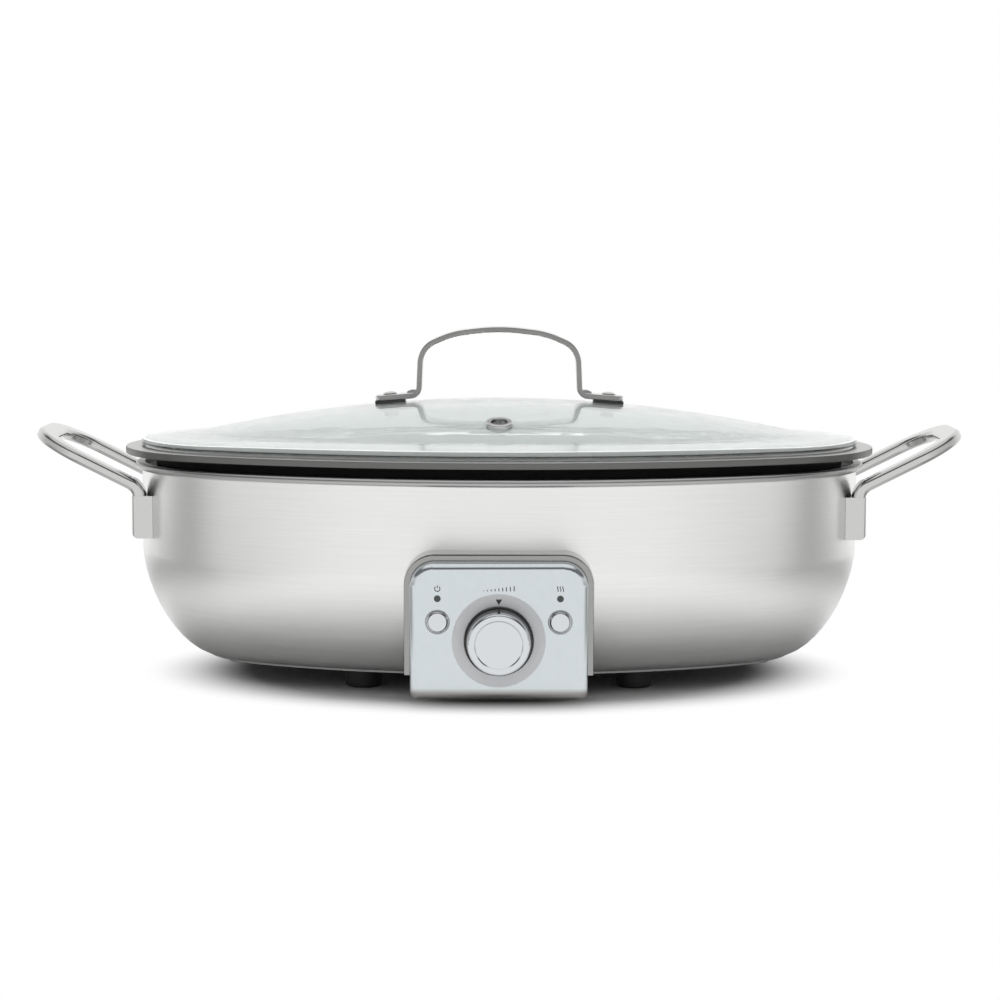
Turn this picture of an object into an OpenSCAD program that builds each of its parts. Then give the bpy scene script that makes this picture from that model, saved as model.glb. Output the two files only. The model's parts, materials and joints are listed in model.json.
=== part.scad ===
// Oval electric slow cooker: brushed steel housing, lift-out cast pan and domed glass lid.
// +X runs to the right, -Y is the front with the controls, +Z is up. The origin is on the
// table, under the middle of the whole appliance.

/* [Housing] */
// Length of the housing's steel wall
body_len = 413; // [395:1:430]
// Depth of the housing's steel wall
body_depth = 266; // [256:1:276]
// Height of the flat underside above the table
floor_z = 12.5; // [11:0.5:15]
// Height of the top of the rolled rim
rim_z = 122.5; // [118:0.5:128]
// Height at which the wall starts to curve in
knee_z = 72.3; // [66:0.1:74]
// How far the lower corner curves in
corner_in = 36.8; // [32:0.1:40]
// Shape of the lower corner: 2 is an ellipse, and less is flatter
corner_p = 1.61; // [1.5:0.01:2]
// Thickness of the housing's steel sheet
sheet = 1.4; // [1:0.1:1.8]
// How far the rolled rim stands out from the wall
bead_out = 4; // [3:0.1:5]
// Radius of the rolled rim
bead_r = 1.9; // [1.5:0.1:2.4]
// Width of the turned-in edge that the bottom cover screws to
lip_w = 28; // [24:1:32]
// Thickness of the bottom cover
cover_t = 1; // [0.8:0.1:1.5]

/* [Feet] */
// Diameter of a rubber foot
foot_d = 21; // [18:0.5:22]
// Distance of the front feet from the middle, to each side
front_foot_x = 76; // [70:1:84]
// Distance of the front feet from the front of the housing's wall
front_foot_in = 70; // [66:1:74]
// Distance of the outer feet from the middle, to each side
outer_foot_x = 151.5; // [146:0.5:152]
// Distance of the outer feet from the back of the housing's wall
outer_foot_in = 105; // [100:1:109]

/* [Heater] */
// Length of the cast heater plate
plate_len = 312; // [300:1:318]
// Depth of the cast heater plate
plate_depth = 132; // [126:1:138]
// Height of the heater plate's underside
plate_z = 34; // [33:0.5:35]
// Thickness of the heater plate
plate_t = 7.7; // [7:0.1:8]
// Diameter of the tubular heating element
element_d = 6.6; // [5:0.1:7]
// Distance of the studs from the middle, to each side
stud_x = 84; // [78:1:90]
// Distance of the studs from the housing's turned-in edge
stud_in = 9.8; // [8:0.1:12]
// Height of the heat reflector's floor
reflector_z = 24; // [22:0.5:25]
// Gap between the housing's wall and the reflector
reflector_in = 6.2; // [6:0.1:7]
// Thickness of the reflector's sheet
reflector_t = 0.8; // [0.5:0.1:1]

/* [Pan] */
// Length over the pan's flange
pan_len = 432; // [428:1:436]
// Depth over the pan's flange
pan_depth = 252; // [246:1:258]
// Height of the flange's top face
flange_z = 131.3; // [130:0.1:136]
// Thickness of the flange
flange_t = 4.3; // [3.5:0.1:5]
// Width of the flange, from its edge to the pan's outer wall
flange_w = 17; // [16:0.5:18]
// Thickness of the pan's wall and floor
pan_t = 3; // [2.5:0.1:4]
// Radius of the pan's lower corner
pan_corner = 24; // [20:1:28]
// Height of the ledge that carries the lid, above the flange
ledge_h = 1.3; // [1:0.1:1.6]

/* [Lid] */
// How far the glass stops short of the flange's edge
lid_step = 9; // [8:0.5:10]
// Thickness of the glass
glass_t = 3.8; // [3.4:0.1:4.2]
// Height of the dome's top
dome_z = 158; // [156:0.5:162]
// Height that the nearly flat brim would reach over the middle
brim_z = 146.5; // [146:0.1:147]
// Distance of the steam vent from the middle, to the front
vent_y = 72; // [64:1:80]
// Diameter of the steam vent's flange
vent_d = 16; // [14:0.5:18]
// Diameter of the steam vent's hole
vent_hole_d = 9.4; // [8:0.2:10]
// Distance of the lid handle's screws from the middle
lid_screw_x = 63; // [60:1:66]
// Height of the lid handle's top
lid_handle_z = 199.6; // [190:0.1:206]
// Width of the lid handle's strap
strap_w = 14; // [12:0.5:16]
// Thickness of the lid handle's strap
strap_t = 3.2; // [2.6:0.1:3.6]

/* [Side handles] */
// Distance from the middle of the handle to each of its arms
arm_y = 40; // [36:1:42]
// Distance of the handle's tip from the middle of the housing
tip_x = 265.5; // [260:0.5:272]
// Height of the bottom of the riveted pads
pad_low_z = 81; // [78:0.5:84]
// Height of the top of the riveted pads
pad_high_z = 104.5; // [102:0.5:107]
// Rise of the arms for each millimetre outwards
arm_slope = 0.5; // [0.4:0.01:0.6]
// Thickness of the arms
arm_t = 6.6; // [6:0.1:7.2]
// Width of the arms
arm_w = 12; // [10:0.5:13]

/* [Controls] */
// Width of the control box
box_w = 94; // [90:1:98]
// Height of the control box's lower edge
box_low_z = 9; // [8:0.5:10]
// Height of the control box's upper edge
box_high_z = 81.5; // [80:0.5:86]
// How far the control box stands out from the housing
box_out = 31; // [29:0.5:34]
// Radius of the control box's upper corners
box_r_high = 13; // [11:0.5:15]
// Radius of the control box's lower corners
box_r_low = 5; // [4.5:0.5:6]
// Rounding of the control box's front edge
box_edge = 4; // [2:0.5:4]
// Wall thickness of the control box
box_t = 2; // [1.6:0.1:2.4]
// Thickness of the control box's face
face_t = 2.4; // [2:0.1:3]
// Height of the knob's axis
knob_z = 40.7; // [38:0.1:43]
// Diameter of the matt disc behind the knob
disc_d = 49.3; // [46:0.1:52]
// Diameter of the knob at its base
knob_d = 35; // [32:0.5:38]
// How far the knob stands out from the control box
knob_out = 16; // [14:0.5:18]
// Turn of the knob from end to end, in degrees
knob_turn = 270; // [180:10:300]
// Distance of the buttons and lamps from the middle
button_x = 32.3; // [31:0.1:33]
// Height of the buttons
button_z = 50.6; // [48:0.1:52]
// Diameter of a button
button_d = 11.2; // [10:0.1:12]
// Travel of a button
button_travel = 1.5; // [1:0.1:1.8]
// Height of the indicator lamps
lamp_z = 63; // [62:0.1:65]
// Diameter of an indicator lamp
lamp_d = 3.5; // [3:0.1:4]

/* [Cord gland] */
// Height of the gland in the back wall
gland_z = 80; // [79:0.5:86]
// Diameter of the gland's hole for the mains lead
gland_hole_d = 7.5; // [6:0.1:9]
// How far the gland stands out from the wall
gland_out = 8; // [6:0.5:12]

/* [Hidden] */
$fn = 96;

// Gap left between neighbours that are assembled, between a shaft and its bore, and at rest
// between bodies that come apart
fit = 0.2;
running = 0.05;
apart = 0.3;
far = 600; // larger than the appliance

// An oval is [x of an end's centre, distance of a side's centre, radius of an end]. Its ends
// and sides meet on the long side of an 8:15:17 triangle, so the arcs flow into each other.
function oval(length, depth) = let (k = round((length - depth)/12*20)/20) [8*k, 15*k, depth/2 - 2*k];
function grown(o, by) = [o[0], o[1], o[2] + by];
function side_r(o) = o[2] + o[1]*17/15;
function half_depth(o) = o[2] + o[1]*2/15;
function half_length(o) = o[0] + o[2];
function end_x(o, y) = o[0] + sqrt(pow(o[2], 2) - y*y);
function side_y(o, x) = sqrt(pow(side_r(o), 2) - x*x) - o[1];
half_turn = atan2(8, 15);

body = oval(body_len, body_depth);
pan = oval(pan_len, pan_depth);
lid = grown(pan, -lid_step);
heater = oval(plate_len, plate_depth);
cover = grown(body, -corner_in - fit);
cover_screw_in = corner_in + lip_w/2;
cover_z = floor_z - cover_t;
lip_top = floor_z + sheet;
plate_top = plate_z + plate_t;
pan_base_z = plate_top + apart;

// Distances in front of the middle of the housing
face_y = half_depth(body) + box_out;
face_back = face_y - face_t;
board_y = face_back - 9.2;
board_t = 1.6;
board_screw = 7;
// The box's walls run back under the housing's curved corner
box_back = half_depth(body) - 43;
knob_front = face_y + knob_out;
gland_end = half_depth(body) + gland_out;
// The housing's middle lies behind the origin, so that the origin is under the middle of it all
centre_y = (knob_front - max(gland_end, half_depth(body) + bead_out))/2;

disc_t = 0.8;
disc_sunk = 0.6;
shaft_r = 3;
bush_r = 3.5;
skirt_gap = 0.4;
skirt_t = 2;
knob_base = face_y - disc_sunk + disc_t + skirt_gap + skirt_t;
button_bore_r = button_d/2 + fit;
button_out = 1.8;
button_flange_t = 1.5;
stem_r = 2;
stem_end = face_back - apart - button_flange_t - 2.8;
switch_top = stem_end - button_travel - apart;
lamp_bore_r = lamp_d/2 + 0.05;
board_low_z = box_low_z + 4.5;
board_high_z = box_high_z - 14;
board_w = box_w - 2*box_t - 8;
boss_x = [board_w/2 - 5, 18];
boss_z = [box_low_z + 9, lamp_z];
mount_x = box_w/2 - 10;
mount_z = box_high_z - 9;
collar_gap = 0.2;
collar_w = 3.2;
collar_front = face_y - 12;
collar_low_z = box_low_z + 11.5;
wire_z = 62;
wire_r = 6;

// Curve of the housing's lower corner, t going from 0 at the wall to 90 at the floor
function corner(t, by, low) = [-by - (corner_in - by)*(1 - pow(cos(t), 2/corner_p)),
    knee_z - (knee_z - low)*pow(sin(t), 2/corner_p)];
function corner_down(by, low) = [for (t = [0:7.5:90]) corner(t, by, low)];
function corner_up(by, low) = [for (t = [90:-7.5:0]) corner(t, by, low)];
function arc(x, y, r, from, to, steps) = [for (i = [0:steps])
    let (a = from + (to - from)*i/steps) [x + r*cos(a), y + r*sin(a)]];

// Everything is drawn around the middle of the housing
module placed() translate([0, centre_y, 0]) children();
// Turns a shape drawn on the front: x across, y up, and z out towards the user
module facing_front() rotate([90, 0, 0]) children();
module both_sides() for (s = [0, 1]) mirror([s, 0, 0]) children();
module past_join(o) translate([o[0], 0, -far/2]) rotate(-half_turn) children();

// Carries a profile round an oval: its x is the distance outside the oval, and its y the height
module around(o) {
    for (turn = [0, 180]) rotate(turn) {
        intersection() {
            translate([o[0], 0, 0]) rotate_extrude() translate([o[2], 0]) children();
            past_join(o) translate([0, -far, 0]) cube([far, 2*far, far]);
            mirror([0, 1, 0]) past_join(o) translate([0, -far, 0]) cube([far, 2*far, far]);
        }
        intersection() {
            translate([0, -o[1], 0]) rotate_extrude() translate([side_r(o), 0]) children();
            past_join(o) translate([-far, -far, 0]) cube([far, 2*far, far]);
            mirror([1, 0, 0]) past_join(o) translate([-far, -far, 0]) cube([far, 2*far, far]);
        }
    }
}

// Flat oval
module oval_face(o) {
    for (s = [-1, 1]) translate([s*o[0], 0]) circle(o[2]);
    intersection() {
        translate([0, o[1]]) circle(side_r(o));
        translate([0, -o[1]]) circle(side_r(o));
        square([2*side_r(o)*8/17, 2*half_depth(o) + 1], center = true);
    }
}

// Flat plate between two heights
module oval_plate(o, low, high) translate([0, 0, low]) linear_extrude(high - low) oval_face(o);

// Carries a profile round a panel with round corners: its x is the distance outside the panel
module around_box(w, low, high, r_low, r_high) {
    ends = [[w/2 - r_high, high - r_high, r_high], [r_high - w/2, high - r_high, r_high],
        [r_low - w/2, low + r_low, r_low], [w/2 - r_low, low + r_low, r_low]];
    for (i = [0:3]) {
        here = ends[i];
        next = ends[(i + 1) % 4];
        run = i % 2 == 0 ? abs(next[0] - here[0]) : abs(next[1] - here[1]);
        translate([here[0], here[1], 0]) rotate(90*i)
            rotate_extrude(angle = 90) translate([here[2], 0]) children();
        translate([next[0], next[1], 0]) rotate(90*i + 90) translate([next[2], 0, 0])
            rotate([90, 0, 0]) linear_extrude(run) children();
    }
}

// Panel with round upper corners
module panel_face(w, low, high, r) {
    translate([-w/2, low]) square([w, high - r - low]);
    translate([r - w/2, low]) square([w - 2*r, high - low]);
    for (s = [-1, 1]) translate([s*(w/2 - r), high - r]) circle(r);
}

// Ring between two radii and two heights about a vertical axis
module ring(r_in, r_out, low, high) translate([0, 0, low]) difference() {
    cylinder(r = r_out, h = high - low);
    translate([0, 0, -1]) cylinder(r = r_in, h = high - low + 2);
}
module hexagon(across, low, high) translate([0, 0, low])
    cylinder(d = across/cos(30), h = high - low, $fn = 6);

// Bar bent along corners [x, y, radius of the bend], with its section as [across, through]
function heading(p, q) = atan2(q[1] - p[1], q[0] - p[0]);
function turned(a) = a > 180 ? a - 360 : a < -180 ? a + 360 : a;
function turn_at(p, i) = i == 0 || i == len(p) - 1 ? 0
    : turned(heading(p[i], p[i + 1]) - heading(p[i - 1], p[i]));
function cut_at(p, i) = p[i][2]*tan(abs(turn_at(p, i))/2);
module bent(path) {
    for (i = [0:len(path) - 2]) {
        run = norm([path[i + 1][0] - path[i][0], path[i + 1][1] - path[i][1]])
            - cut_at(path, i) - cut_at(path, i + 1);
        translate([path[i][0], path[i][1], 0]) rotate(heading(path[i], path[i + 1]))
            translate([cut_at(path, i), 0, 0]) rotate([90, 0, 90]) linear_extrude(run) children();
    }
    for (i = [1:len(path) - 2]) {
        t = turn_at(path, i);
        translate([path[i][0], path[i][1], 0]) rotate(heading(path[i - 1], path[i]))
            translate([-cut_at(path, i), (t > 0 ? 1 : -1)*path[i][2], 0]) rotate(t > 0 ? -90 : 90 + t)
                rotate_extrude(angle = abs(t)) translate([path[i][2], 0]) children();
    }
}
module bar(w, h, r) {
    square([w - 2*r, h], center = true);
    square([w, h - 2*r], center = true);
    for (x = [-1, 1], y = [-1, 1]) translate([x*(w/2 - r), y*(h/2 - r)]) circle(r);
}

// Solid under a crowned surface whose curve along X has radius rx, and along Y radius ry
module crown(top, rx, ry) {
    half = 35;
    depth = 45;
    translate([0, 0, top - ry]) rotate([0, 90, 0]) rotate(180 - half)
        rotate_extrude(angle = 2*half) intersection() {
            translate([ry - rx, 0]) circle(rx, $fn = 720);
            translate([ry - depth, -far/2]) square([depth + 1, far]);
        }
}

// ---- Housing and its base ----

module body_profile() {
    x = bead_out - bead_r;
    polygon(concat([[-sheet, rim_z]], arc(x, rim_z - bead_r, bead_r, 90, -112.5, 9),
        [[0, rim_z - 1.8*bead_r]], corner_down(0, floor_z),
        [[-corner_in - lip_w, floor_z], [-corner_in - lip_w, lip_top]], corner_up(sheet, lip_top)));
}

// The space inside the housing's front wall and over its bottom cover, which cuts whatever is
// fitted to that wall
module behind_front_wall() translate([0, body[1], 0]) rotate_extrude() translate([side_r(body), 0])
    polygon(concat([[-90, rim_z], [0, rim_z]], corner_down(0, floor_z),
        [[-corner_in, cover_z - fit], [-90, cover_z - fit]]));

cover_screw_at = [for (s = [-1, 1], a = [-65, 0, 65])
    let (r = body[2] - cover_screw_in) [s*(body[0] + r*cos(a)), r*sin(a)]];
foot_at = [for (s = [-1, 1]) each [[s*front_foot_x, front_foot_in - half_depth(body)],
    [s*outer_foot_x, half_depth(body) - outer_foot_in]]];
stud_y = round(10*(side_y(grown(body, -corner_in - lip_w), stud_x) - stud_in))/10;
stud_at = [for (x = [-1, 1], y = [-1, 1]) [x*stud_x, y*stud_y]];
rivet_at = [for (s = [-1, 1], z = [pad_low_z + 6, pad_high_z - 6]) [s*arm_y, z]];
rivet_r = 2.5;
foot_hole_r = 2.2;
screw_hole_r = 1.7;

module at(places) for (p = places) translate([p[0], p[1], 0]) children();

module housing_shell() color([0.78, 0.78, 0.77]) placed() difference() {
    around(body) body_profile();
    at(foot_at) cylinder(r = foot_hole_r, h = knee_z/2);
    at(cover_screw_at) cylinder(r = screw_hole_r, h = knee_z/2);
    both_sides() for (p = rivet_at) translate([body[0], p[0], p[1]]) rotate([0, 90, 0])
        cylinder(r = rivet_r + fit, h = far);
    facing_front() translate([0, 0, half_depth(body) - 40]) {
        translate([0, wire_z, 0]) cylinder(r = wire_r, h = 60);
        for (s = [-1, 1]) translate([s*mount_x, mount_z, 0]) cylinder(r = screw_hole_r, h = 60);
    }
    translate([0, half_depth(body) + 20, gland_z]) rotate([90, 0, 0])
        cylinder(r = gland_body_r + fit, h = 50);
}

slot_w = 3;
slot_run = 34;
module bottom_cover() color([0.2, 0.2, 0.21]) placed() difference() {
    oval_plate(cover, cover_z, floor_z);
    translate([0, 0, cover_z - 1]) {
        at(foot_at) cylinder(r = foot_hole_r, h = 5);
        at(cover_screw_at) cylinder(r = screw_hole_r, h = 5);
        at(stud_at) cylinder(r = stud_r + fit, h = 5);
        for (x = [-54:12:54]) linear_extrude(5) translate([x, 0]) {
            square([slot_w, slot_run], center = true);
            for (y = [-1, 1]) translate([0, y*slot_run/2]) circle(d = slot_w);
        }
    }
}

module cover_screws() color([0.65, 0.65, 0.66]) placed() at(cover_screw_at) {
    translate([0, 0, cover_z - 1.8]) cylinder(r1 = 2.4, r2 = 3.4, h = 1.8);
    translate([0, 0, cover_z - 0.01]) cylinder(r = 1.5, h = 7);
}

module rubber_feet() color([0.05, 0.05, 0.05]) placed() at(foot_at) rotate_extrude()
    polygon(concat([[foot_hole_r, 5], [4.8, 5], [4.8, 0]], arc(foot_d/2 - 2.2, 1.6, 1.6, -90, 0, 4),
        [[foot_d/2, cover_z - 2], [foot_d/2, cover_z], [foot_hole_r, cover_z]]));

module foot_screws() color([0.65, 0.65, 0.66]) placed() at(foot_at) {
    translate([0, 0, 2.6]) cylinder(r1 = 3.2, r2 = 4, h = 2.4);
    translate([0, 0, 4.9]) cylinder(r = 2, h = lip_top - 4.9 + 4.2);
}

module foot_nuts() color([0.7, 0.7, 0.7]) placed() at(foot_at) difference() {
    hexagon(7, lip_top, lip_top + 3.2);
    translate([0, 0, lip_top - 1]) cylinder(r = 2.05, h = 6);
}

// ---- Heater ----

stud_r = 2.5;
stud_in_plate = 5;
spacer_r = 5;
sensor_r = 10;
sensor_bore_r = 13;
terminal_x = 10;
bead_hole_r = 4.7;
bracket_t = 0.8;
bracket_w = 10;
bracket_drop = 3;

module heat_reflector() color([0.75, 0.75, 0.76]) placed() {
    top = rim_z - 16;
    in = reflector_in + reflector_t;
    floor_in = corner_in + 22;
    difference() {
        union() {
            around(body) polygon(concat(
                [[-reflector_in, top - reflector_t], [-sheet - fit, top - reflector_t], [-sheet - fit, top],
                [-in, top]], corner_down(in, reflector_z + reflector_t),
                [[-floor_in, reflector_z + reflector_t], [-floor_in, reflector_z]],
                corner_up(reflector_in, reflector_z)));
            oval_plate(grown(body, 1 - floor_in), reflector_z, reflector_z + reflector_t);
        }
        translate([0, 0, reflector_z - 1]) {
            at(stud_at) cylinder(r = stud_r + fit, h = 3);
            at([[-terminal_x, element_y], [terminal_x, element_y]]) cylinder(r = bead_hole_r, h = 3);
            translate([0, -50, 0]) cylinder(r = 4, h = 3);
        }
    }
}

// The element runs inside the studs, clear of their spacers
element_in = 32;
element_x = plate_len/2 - element_in;
element_y = stud_y - spacer_r - element_d/2 - 1.7;
element_bend = element_y - 8;
// The element's loop, with its two ends at the back a little past its legs
module element_loop(grow) {
    r = element_d/2 + grow;
    x = element_x - element_bend;
    y = element_y - element_bend;
    start = terminal_x - element_d/2 - 0.7 - grow;
    translate([0, 0, plate_z]) {
        for (i = [0:3]) translate([(i == 0 || i == 3 ? 1 : -1)*x, (i < 2 ? 1 : -1)*y, 0]) rotate(90*i)
            rotate_extrude(angle = 90) translate([element_bend, 0]) circle(r, $fn = 48);
        for (s = [-1, 1]) {
            translate([s*element_x, -y, 0]) rotate([-90, 0, 0]) cylinder(r = r, h = 2*y, $fn = 48);
            translate([s*start, element_y, 0]) rotate([0, 90*s, 0])
                cylinder(r = r, h = x - start, $fn = 48);
        }
        translate([-x, -element_y, 0]) rotate([0, 90, 0]) cylinder(r = r, h = 2*x, $fn = 48);
    }
}

module heater_plate() color([0.6, 0.6, 0.61]) placed() difference() {
    oval_plate(heater, plate_z, plate_top);
    translate([0, 0, plate_z - 1]) cylinder(r = sensor_bore_r, h = plate_t + 2);
    element_loop(fit);
    translate([0, 0, plate_z - 1]) at(stud_at) cylinder(r = stud_r + running, h = stud_in_plate + 1.1);
}

leg_low = reflector_z + reflector_t + 2.2;
module heating_element() color([0.35, 0.33, 0.32]) placed() {
    element_loop(0);
    for (s = [-1, 1]) translate([s*terminal_x, element_y, leg_low])
        cylinder(r = element_d/2 - 0.3, h = plate_z - leg_low);
}

module ceramic_beads() color([0.93, 0.91, 0.86]) placed()
    at([[-terminal_x, element_y], [terminal_x, element_y]]) difference() {
        union() {
            translate([0, 0, reflector_z - 4]) cylinder(r = bead_hole_r - fit, h = leg_low - reflector_z + 4);
            translate([0, 0, reflector_z + reflector_t])
                cylinder(r = 6, h = leg_low - reflector_z - reflector_t);
        }
        translate([0, 0, reflector_z - 5]) cylinder(r = 1.6, h = 20);
    }

module element_terminals() color([0.8, 0.8, 0.78]) placed() for (s = [-1, 1])
    translate([s*terminal_x, element_y, 0]) {
        translate([0, 0, reflector_z - 6]) cylinder(r = 1.5, h = leg_low - reflector_z + 6);
        translate([-3.15, -0.4, reflector_z - 9]) cube([6.3, 0.8, 4.5]);
    }

module plate_studs() color([0.7, 0.7, 0.71]) placed() at(stud_at)
    translate([0, 0, cover_z - 4.5]) cylinder(r = stud_r, h = plate_z + stud_in_plate - cover_z + 4.5);

module stud_spacers() color([0.66, 0.66, 0.67]) placed() at(stud_at) {
    ring(stud_r + fit, spacer_r, floor_z, reflector_z);
    ring(stud_r + fit, spacer_r, reflector_z + reflector_t, plate_z);
}

module stud_nuts() color([0.7, 0.7, 0.7]) placed() at(stud_at) difference() {
    hexagon(8, cover_z - 3.6, cover_z);
    translate([0, 0, cover_z - 5]) cylinder(r = stud_r + running, h = 6);
}

bracket_x = sensor_bore_r + 14;
module sensor_bracket() color([0.72, 0.72, 0.73]) placed() translate([0, bracket_w/2, 0])
    rotate([90, 0, 0]) linear_extrude(bracket_w) {
        high = [[-bracket_x, 0], [-sensor_r - 6, 0], [-sensor_r - 2, -bracket_drop],
            [sensor_r + 2, -bracket_drop], [sensor_r + 6, 0], [bracket_x, 0]];
        polygon([for (p = high) [p[0], plate_z + p[1]], for (i = [5:-1:0])
            [high[i][0]*(i == 1 || i == 4 ? 1.02 : 1), plate_z - bracket_t + high[i][1]]]);
    }

module sensor_probe() color([0.85, 0.85, 0.86]) placed() {
    low = plate_z - bracket_drop;
    rotate_extrude() polygon(concat([[0, low]], arc(sensor_r - 1, low + 1, 1, -90, 0, 3),
        arc(sensor_r - 2, plate_top - 2, 2, 0, 90, 5), [[0, plate_top]]));
}

module thermal_fuse() color([0.9, 0.88, 0.8]) placed() translate([bracket_x + 6, 0, plate_z - 2.5]) {
    rotate([0, 90, 0]) cylinder(r = 2.5, h = 18);
    for (x = [-2, 16]) translate([x, -3, 0]) cube([4, 6, 2.5]);
}

// ---- Controls ----

module box_profile() {
    polygon(concat([[-box_t, box_back], [0, box_back]], arc(-box_edge, face_y - box_edge, box_edge, 0, 90, 6),
        [[-box_r_low, face_y], [-box_r_low, face_back], [-box_edge, face_back],
        [-box_t, face_y - box_edge]]));
}

module board_boss_places() for (s = [-1, 1], i = [0, 1]) translate([s*boss_x[i], boss_z[i], 0]) children();

module control_box() color([0.86, 0.87, 0.88]) placed() difference() {
    facing_front() difference() {
        union() {
            around_box(box_w, box_low_z, box_high_z, box_r_low, box_r_high) box_profile();
            translate([0, 0, face_back]) linear_extrude(face_t) panel_face(box_w - 2*box_edge - 1,
                box_low_z + box_edge + 0.5, box_high_z - box_edge - 0.5, box_r_high - box_edge - 0.5);
            board_boss_places() translate([0, 0, board_y]) cylinder(r = 3.2, h = face_back - board_y + 0.5);
            for (s = [-1, 1]) translate([s*mount_x, mount_z, box_back])
                cylinder(r = 4.2, h = face_back - box_back + 0.5);
        }
        translate([0, knob_z, face_back - 1]) cylinder(r = bush_r + fit, h = 5);
        translate([0, knob_z, face_y - disc_sunk]) cylinder(r = disc_d/2 + running, h = 2);
        for (s = [-1, 1]) translate([s*button_x, 0, face_back - 1]) {
            translate([0, button_z, 0]) cylinder(r = button_bore_r, h = 5);
            translate([0, lamp_z, 0]) cylinder(r = lamp_bore_r, h = 5);
        }
        board_boss_places() translate([0, 0, board_y - 1]) cylinder(r = 1.3, h = 8);
        for (s = [-1, 1]) translate([s*mount_x, mount_z, box_back - 1])
            cylinder(r = 1.3, h = half_depth(body) + 15 - box_back);
    }
    behind_front_wall();
}

module control_surround() color([0.72, 0.72, 0.71]) placed() difference() {
    intersection() {
        facing_front() around_box(box_w + 2*(collar_gap + collar_w), box_low_z - 40,
            box_high_z + collar_gap + collar_w, box_r_low, box_r_high + collar_gap + collar_w)
            polygon([[-collar_w, box_back], [0, box_back], [0, collar_front - 1], [-0.3, collar_front - 0.3],
                [-1, collar_front], [-collar_w, collar_front]]);
        translate([-far/2, -far, collar_low_z]) cube([far, far, far]);
    }
    behind_front_wall();
}

module dial_disc() color([0.79, 0.8, 0.81]) placed() facing_front() translate([0, knob_z, 0])
    ring(bush_r + 1.5, disc_d/2, face_y - disc_sunk, face_y - disc_sunk + disc_t);

module temperature_control() color([0.55, 0.56, 0.58]) placed() facing_front()
    translate([0, knob_z, 0]) difference() {
        union() {
            translate([0, 0, board_y]) cylinder(r = 8.5, h = face_back - board_y - 0.8);
            translate([0, 0, face_back - 1]) cylinder(r = bush_r, h = face_t + 1);
        }
        translate([0, 0, board_y + 1]) cylinder(r = shaft_r + running, h = 20);
    }

module knob_shaft() color([0.8, 0.8, 0.8]) placed() facing_front() translate([0, knob_z, board_y + 1.3])
    cylinder(r = shaft_r, h = knob_front - 4 - board_y - 1.3);

module knob_skirt() color([0.06, 0.06, 0.065]) placed() facing_front() translate([0, knob_z, 0])
    rotate_extrude() polygon([[shaft_r + running, knob_base - skirt_t], [knob_d/2 + 0.5, knob_base - skirt_t],
        [knob_d/2 + 0.9, knob_base - skirt_t + 0.4], [knob_d/2 + 0.9, knob_base - 0.4],
        [knob_d/2 + 0.5, knob_base], [shaft_r + running, knob_base]]);

module control_knob() color([0.88, 0.89, 0.9]) placed() facing_front() translate([0, knob_z, 0])
    rotate_extrude() polygon(concat(
        [[shaft_r + running, knob_base], [knob_d/2 - 0.4, knob_base], [knob_d/2, knob_base + 0.5]],
        arc(knob_d/2 - 2.6, knob_front - 1.4, 1.4, 5, 90, 5),
        [[0.35*knob_d + 0.6, knob_front], [0.35*knob_d, knob_front - 0.6], [0, knob_front - 0.6],
        [0, knob_front - 3.7], [shaft_r + running, knob_front - 3.7]]));

module button(s) placed() facing_front() translate([s*button_x, button_z, 0]) {
    front = face_y + button_out;
    back = face_back - apart;
    rotate_extrude() polygon(concat([[0, stem_end], [stem_r, stem_end], [stem_r, back - button_flange_t],
        [button_bore_r + 1.2, back - button_flange_t], [button_bore_r + 1.2, back], [button_d/2, back]],
        arc(button_d/2 - 0.9, front - 0.9, 0.9, 0, 90, 4), [[0, front]]));
}
module power_button() color([0.86, 0.87, 0.88]) button(-1);
module sear_button() color([0.86, 0.87, 0.88]) button(1);

module button_switches() color([0.12, 0.12, 0.13]) placed() facing_front() for (s = [-1, 1])
    translate([s*button_x, button_z, board_y]) {
        translate([-3, -3, 0]) cube([6, 6, switch_top - board_y - 0.8]);
        cylinder(r = 1.7, h = switch_top - board_y);
    }

module lamp(s) placed() facing_front() translate([s*button_x, lamp_z, 0]) {
    translate([0, 0, board_y]) cylinder(r = lamp_d/2 + 0.5, h = 1.2);
    translate([0, 0, board_y]) cylinder(r = lamp_d/2, h = face_y - board_y);
}
module power_lamp() color([0.24, 0.28, 0.26]) lamp(-1);
module sear_lamp() color([0.24, 0.28, 0.26]) lamp(1);

module control_board() color([0.1, 0.32, 0.2]) placed() facing_front() difference() {
    translate([-board_w/2, board_low_z, board_y - board_t])
        cube([board_w, board_high_z - board_low_z, board_t]);
    board_boss_places() translate([0, 0, board_y - 3]) cylinder(r = 1.5, h = 5);
}

module board_screws() color([0.7, 0.7, 0.7]) placed() facing_front() board_boss_places()
    translate([0, 0, board_y - board_t]) {
        translate([0, 0, -1.6]) cylinder(r = 2.5, h = 1.6);
        cylinder(r = 1.2, h = board_screw);
    }

module box_screws() color([0.7, 0.7, 0.7]) placed() facing_front() for (s = [-1, 1])
    translate([s*mount_x, mount_z, side_y(grown(body, -sheet), mount_x + 3.2) - 2]) {
        cylinder(r = 3, h = 1.8);
        cylinder(r = 1.2, h = 14);
    }

module wire_grommet() color([0.07, 0.07, 0.07]) placed() facing_front() translate([0, wire_z, 0]) {
    wall = half_depth(body);
    ring(wire_r - 2, wire_r - fit, wall - 5, wall + 4);
    ring(wire_r - 1, wire_r + 2.5, wall + 0.1, wall + 1.6);
}

// ---- Side handles ----

pad_w = 13.6;
pad_out_x = end_x(body, arm_y) + 8.9;
pad_corner = 3.5;
arm_edge = 2.4;
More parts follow.
